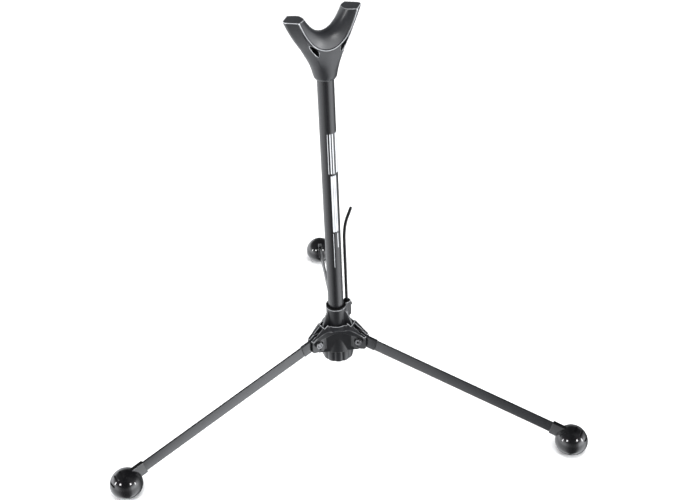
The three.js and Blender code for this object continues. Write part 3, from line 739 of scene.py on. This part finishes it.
def seat_beads():
    """A fine moulded lip where the seat meets the front and back faces."""
    out = []
    for side in (-1, 1):
        pts = []
        for i in range(81):
            g = -29.6 + 59.2 * i / 80
            h = 10.9
            for _ in range(12):
                h = front_depth(g, min(FORK_TOP - 0.2, seat_height(g, h)))
            pts.append(np.array([g, side * (h - 0.06), min(FORK_TOP - 0.35, seat_height(g, h)) + 0.02]))
        rings = []
        for i, p in enumerate(pts):
            d = pts[min(80, i + 1)] - pts[max(0, i - 1)]
            d /= np.linalg.norm(d)
            u = np.cross(d, (0, 1, 0))
            u /= np.linalg.norm(u)
            w = np.cross(d, u)
            r = 0.78
            rings.append([tuple(p + r * (u * math.cos(k * math.pi / 6) + w * math.sin(k * math.pi / 6))) for k in range(12)])
        out.append(loft(rings))
    return out


def build_fork():
    ob = make(loft(fork_rings()))
    win = [(-20.8, 395.8), (-16.7, 394.2), (-13.4, 391.6), (-11.5, 388.2), (-11.0, 385.2), (-11.8, 383.0), (-13.6, 384.6),
           (-17.0, 388.8), (-19.8, 393.3)]
    tools = [seat_tool(), plate(win, -24, 24), plate([(-x, z) for x, z in reversed(win)], -24, 24),
             rod(TUBE_R + 0.3, 340, 371.9, 128)]
    combine(ob, tools, "DIFFERENCE")
    combine(ob, seat_beads(), "UNION")
    # the fork's convexity mask drives its painted edge highlight
    mark_edges(voxel(ob, 0.36, 2))
    c, s = math.cos(YOKE_AZ * DEG), math.sin(YOKE_AZ * DEG)
    me = ob.data
    co = np.empty(len(me.vertices) * 3)
    me.vertices.foreach_get("co", co)
    co = co.reshape(-1, 3) - np.array([AX, AY, 0])
    co = co @ np.array([[c, -s, 0], [s, c, 0], [0, 0, 1]]).T + np.array([AX, AY, 0])
    me.vertices.foreach_set("co", co.ravel())
    me.update()
    return ob


piece(build_fork(), "fork_moulding", "fork_head", "frame", M_FORK)

# ------------------------------------------------------------------------ legs
def knuckle_part():
    h = KNUCKLE_H / 2
    out = [(0, h), (KNUCKLE_END, h), (KNUCKLE_END, -h), (-h, -h), (-h, 0)]
    out += [(h * math.cos((180 - 90 * i / 20) * DEG), h * math.sin((180 - 90 * i / 20) * DEG)) for i in range(1, 20)]
    return plate(list(reversed(out)), -KNUCKLE_T / 2, KNUCKLE_T / 2)


def foot_part_base():
    a0 = math.asin(PAD_Z / BALL_LOW)
    prof = [(0, PAD_Z), (BALL_R * math.cos(a0), PAD_Z)]
    prof += [(BALL_R * math.cos(a0 * (1 - i / 26)), BALL_LOW * math.sin(a0 * (1 - i / 26))) for i in range(1, 26)]
    prof += [(BALL_R * math.cos(i / 34 * math.pi / 2), BALL_R * math.sin(i / 34 * math.pi / 2)) for i in range(34)]
    prof.append((0, BALL_R))
    return lathe(prof, 112)


def round_box(x0, x1, y0, y1, z0, z1, r, name="tmp"):
    ob = make(box(x0, x1, y0, y1, z0, z1))
    bevel(ob, r, 4)
    me = ob.data
    v = np.empty(len(me.vertices) * 3)
    me.vertices.foreach_get("co", v)
    v = (v.reshape(-1, 3) - np.array([AX, AY, AZ])) / MM
    f = [tuple(p.vertices) for p in me.polygons]
    bpy.data.objects.remove(ob)
    return v, f


NECK = round_box(NECK_START, BALL_U - 4, -2.3, 2.3, -BAR_H / 2 - 1.2, BAR_H / 2 + 1.2, 0.7)


def build_foot(n):
    ball = foot_part_base()
    ob = make(from_leg(move(turn(ball, "Y", -SLOPE / DEG), dx=BALL_U, dz=BALL_V), n))
    slots = []
    for el in (27, 55, 78):
        s = box(BALL_R - 1.5, BALL_R + 3, -4.6, 4.6, -1.0, 1.0)
        slots.append(from_leg(move(turn(turn(s, "Y", -el), "Y", -SLOPE / DEG), dx=BALL_U, dz=BALL_V), n))
    combine(ob, slots, "DIFFERENCE")
    combine(ob, [from_leg(NECK, n)], "UNION")
    sock = box(NECK_START - 2, SOCKET_END, -BAR_T / 2 - 0.3, BAR_T / 2 + 0.3, -BAR_H / 2 - 0.3, BAR_H / 2 + 0.3)
    combine(ob, [from_leg(sock, n)], "DIFFERENCE")
    bevel(ob, 0.26, 2, 50)
    return soften(ob, 32)


for n in (1, 2, 3):
    ob = make(from_leg(knuckle_part(), n))
    combine(ob, [from_leg(cross_rod(2.15, 0, 0, -5, 5), n),
                 from_leg(box(KNUCKLE_END - 9.3, KNUCKLE_END + 2, -0.9, 0.9, -4.3, 4.3), n)], "DIFFERENCE")
    bevel(ob, 0.28, 3)
    piece(soften(ob), f"leg_{n}_end_fitting", f"leg_{n}_knuckle", f"leg_{n}", M_LEG)

    ob = make(from_leg(box(KNUCKLE_END + 0.3, BAR_END, -BAR_T / 2, BAR_T / 2, -BAR_H / 2, BAR_H / 2), n))
    combine(ob, [from_leg(box(KNUCKLE_END - 9, KNUCKLE_END + 1, -0.6, 0.6, -4, 4), n)], "UNION")
    bevel(ob, 0.3, 3)
    piece(soften(ob), f"leg_{n}_flat_bar", f"leg_{n}_bar", f"leg_{n}", M_LEG)

    piece(build_foot(n), f"leg_{n}_ball_foot", f"leg_{n}_foot", f"leg_{n}", M_FOOT)

    y = -CHEEK_S - 0.3
    prof = [(0, 8.0), (1.5, 8.0), (1.85, 7.7), (1.85, y), (3.25, y), (3.4, y - 0.15), (3.4, y - 2.8), (3.28, y - 3.05),
            (3.05, y - 3.2), (0, y - 3.2)]
    v, f = lathe([(r, z) for r, z in prof], 64)
    ob = make(from_pivot((np.stack([v[:, 0], v[:, 2], -v[:, 1]], 1), f), n))
    hexa = [(1.75 * math.cos(k * 60 * DEG), 1.75 * math.sin(k * 60 * DEG)) for k in range(6)]
    combine(ob, [from_pivot(plate(hexa, y - 4.0, y - 1.4), n)], "DIFFERENCE")
    piece(soften(ob, 36), f"leg_{n}_cap_screw", f"leg_{n}_pivot_screw", "frame", M_STEEL)

    hexo = [(3.95 * math.cos((k * 60) * DEG), 3.95 * math.sin((k * 60) * DEG)) for k in range(6)]
    ob = make(from_pivot(plate(hexo, CHEEK_S + 0.3, CHEEK_S + 3.3), n))
    combine(ob, [from_pivot(cross_rod(2.15, 0, 0, 0, 14), n)], "DIFFERENCE")
    bevel(ob, 0.3, 3)
    piece(soften(ob, 40), f"leg_{n}_hex_nut", f"leg_{n}_pivot_nut", "frame", M_STEEL)

# --------------------------------------------------------- camera, floor, light
EL, ROLL, HEAD = 33.455 * DEG, -2.125 * DEG, -34.9 * DEG
back = Vector((0, -math.cos(EL), math.sin(EL)))
right0, up0 = Vector((1, 0, 0)), Vector((0, math.sin(EL), math.cos(EL)))
right = right0 * math.cos(ROLL) + up0 * math.sin(ROLL)
up = -right0 * math.sin(ROLL) + up0 * math.cos(ROLL)
rz = Matrix.Rotation(HEAD, 3, "Z")
right, up, back = rz @ right, rz @ up, rz @ back
loc = rz @ Vector((16.647, -955.730, 798.698)) * MM + Vector((AX, AY, AZ))
cam_data = bpy.data.cameras.new("camera")
cam_data.sensor_width = 36
cam_data.lens = 36 * 1142.526 / 700
cam_data.clip_start, cam_data.clip_end = 0.01, 50
cam = bpy.data.objects.new("camera", cam_data)
m = Matrix((right, up, back)).transposed().to_4x4()
m.translation = loc
cam.matrix_world = m
bpy.context.scene.collection.objects.link(cam)
bpy.context.scene.camera = cam

floor_mesh = bpy.data.meshes.new("floor")
S = 1.6
floor_mesh.from_pydata([(-S, -S, -0.0003), (S, -S, -0.0003), (S, S, -0.0003), (-S, S, -0.0003)], [], [(0, 1, 2, 3)])
floor = bpy.data.objects.new("floor", floor_mesh)
bpy.context.scene.collection.objects.link(floor)
fm, fnt, fb = _base("floor_pale")
fb.inputs["Base Color"].default_value = (0.86, 0.86, 0.865, 1)
fb.inputs["Roughness"].default_value = 0.9
fb.inputs["Specular IOR Level"].default_value = 0.0
# one-sided, so that the underside of the stand can be seen from below
f_geo, f_clear, f_mix = (fnt.nodes.new(t) for t in ("ShaderNodeNewGeometry", "ShaderNodeBsdfTransparent", "ShaderNodeMixShader"))
fnt.links.new(f_geo.outputs["Backfacing"], f_mix.inputs[0])
fnt.links.new(fb.outputs["BSDF"], f_mix.inputs[1])
fnt.links.new(f_clear.outputs["BSDF"], f_mix.inputs[2])
fnt.links.new(f_mix.outputs["Shader"], fnt.nodes["Material Output"].inputs["Surface"])
floor_mesh.materials.append(fm)
floor.visible_glossy = False             # the black parts reflect the studio, not the sweep


def studio():
    """A dim room with one broad soft wall of light on each side of the camera."""
    w = bpy.data.worlds.new("studio")
    bpy.context.scene.world = w
    w.use_nodes = True
    nt = w.node_tree
    tc = nt.nodes.new("ShaderNodeTexCoord")
    sp = nt.nodes.new("ShaderNodeSeparateXYZ")
    rot = nt.nodes.new("ShaderNodeVectorRotate")
    rot.rotation_type = "Z_AXIS"
    rot.inputs["Angle"].default_value = -HEAD
    nt.links.new(tc.outputs["Generated"], rot.inputs["Vector"])
    nt.links.new(rot.outputs["Vector"], sp.inputs["Vector"])
    neg = nt.nodes.new("ShaderNodeMath")
    neg.operation = "MULTIPLY"
    neg.inputs[1].default_value = -1
    nt.links.new(sp.outputs["Y"], neg.inputs[0])
    at = nt.nodes.new("ShaderNodeMath")
    at.operation = "ARCTAN2"
    nt.links.new(sp.outputs["X"], at.inputs[0])
    nt.links.new(neg.outputs[0], at.inputs[1])
    mr = nt.nodes.new("ShaderNodeMapRange")
    mr.inputs["From Min"].default_value, mr.inputs["From Max"].default_value = -math.pi, math.pi
    nt.links.new(at.outputs[0], mr.inputs["Value"])
    stops = [(-180, 0.35), (-150, 1.3), (-110, 2.3), (-70, 2.3), (-50, 1.8), (-35, 0.9), (-20, 0.35), (0, 0.2), (20, 0.35),
             (34, 1.1), (44, 2.9), (70, 3.8), (88, 3.2), (106, 1.3), (122, 0.3), (180, 0.35)]
    ramp = _ramp(nt, mr.outputs["Result"], [((a + 180) / 360, (v / 4, v / 4, v / 4, 1)) for a, v in stops])
    el = nt.nodes.new("ShaderNodeMath")
    el.operation = "ARCSINE"
    nt.links.new(sp.outputs["Z"], el.inputs[0])
    me = nt.nodes.new("ShaderNodeMapRange")
    me.inputs["From Min"].default_value, me.inputs["From Max"].default_value = -math.pi / 2, math.pi / 2
    nt.links.new(el.outputs[0], me.inputs["Value"])
    heights = [(-90, 0.25), (-60, 0.28), (-16, 0.28), (-8, 0.4), (-2, 0.5), (9, 0.45), (20, 0.1), (35, 0.03), (90, 0.01)]
    rh = _ramp(nt, me.outputs["Result"], [((a + 90) / 180, (v, v, v, 1)) for a, v in heights])
    mul = nt.nodes.new("ShaderNodeMath")
    mul.operation = "MULTIPLY"
    nt.links.new(ramp.outputs["Color"], mul.inputs[0])
    nt.links.new(rh.outputs["Color"], mul.inputs[1])
    k = nt.nodes.new("ShaderNodeMath")
    k.operation = "MULTIPLY"
    k.inputs[1].default_value = 14.0
    nt.links.new(mul.outputs[0], k.inputs[0])
    bg = nt.nodes["Background"]
    bg.inputs["Color"].default_value = (0.95, 0.97, 1.0, 1)
    nt.links.new(k.outputs[0], bg.inputs["Strength"])
    # the backdrop itself is plain white past the edge of the floor
    plain, mix, path = (nt.nodes.new(t) for t in ("ShaderNodeBackground", "ShaderNodeMixShader", "ShaderNodeLightPath"))
    plain.inputs["Color"].default_value = (1, 1, 1, 1)
    plain.inputs["Strength"].default_value = 1.0
    nt.links.new(path.outputs["Is Camera Ray"], mix.inputs[0])
    nt.links.new(bg.outputs["Background"], mix.inputs[1])
    nt.links.new(plain.outputs["Background"], mix.inputs[2])
    nt.links.new(mix.outputs["Shader"], nt.nodes["World Output"].inputs["Surface"])


studio()


def softbox(name, az, el, dist, sx, sy, power, target=(0.03, 0, 0.1), glossy=False):
    """An area light; az is measured from the camera's heading, to the right."""
    a = (az - 90) * DEG + HEAD
    d = Vector((math.cos(a) * math.cos(el * DEG), math.sin(a) * math.cos(el * DEG), math.sin(el * DEG)))
    data = bpy.data.lights.new(name, "AREA")
    data.shape, data.size, data.size_y = "RECTANGLE", sx, sy
    data.energy = power
    ob = bpy.data.objects.new(name, data)
    ob.location = Vector(target) + d * dist
    ob.rotation_euler = d.to_track_quat("Z", "Y").to_euler()
    bpy.context.scene.collection.objects.link(ob)
    ob.visible_glossy = glossy
    return ob


softbox("top", 20, 78, 2.6, 2.6, 2.6, 125)
softbox("spark_left", -41, 30, 2.4, 0.42, 0.42, 18, glossy=True)
softbox("spark_right", 41, 30, 2.4, 0.42, 0.42, 18, glossy=True)
softbox("strip_left", -76, 14, 2.4, 0.3, 0.7, 14, glossy=True)
softbox("strip_right", 74, 12, 2.4, 0.3, 0.7, 14, glossy=True)

bpy.context.scene.view_settings.view_transform = "Standard"
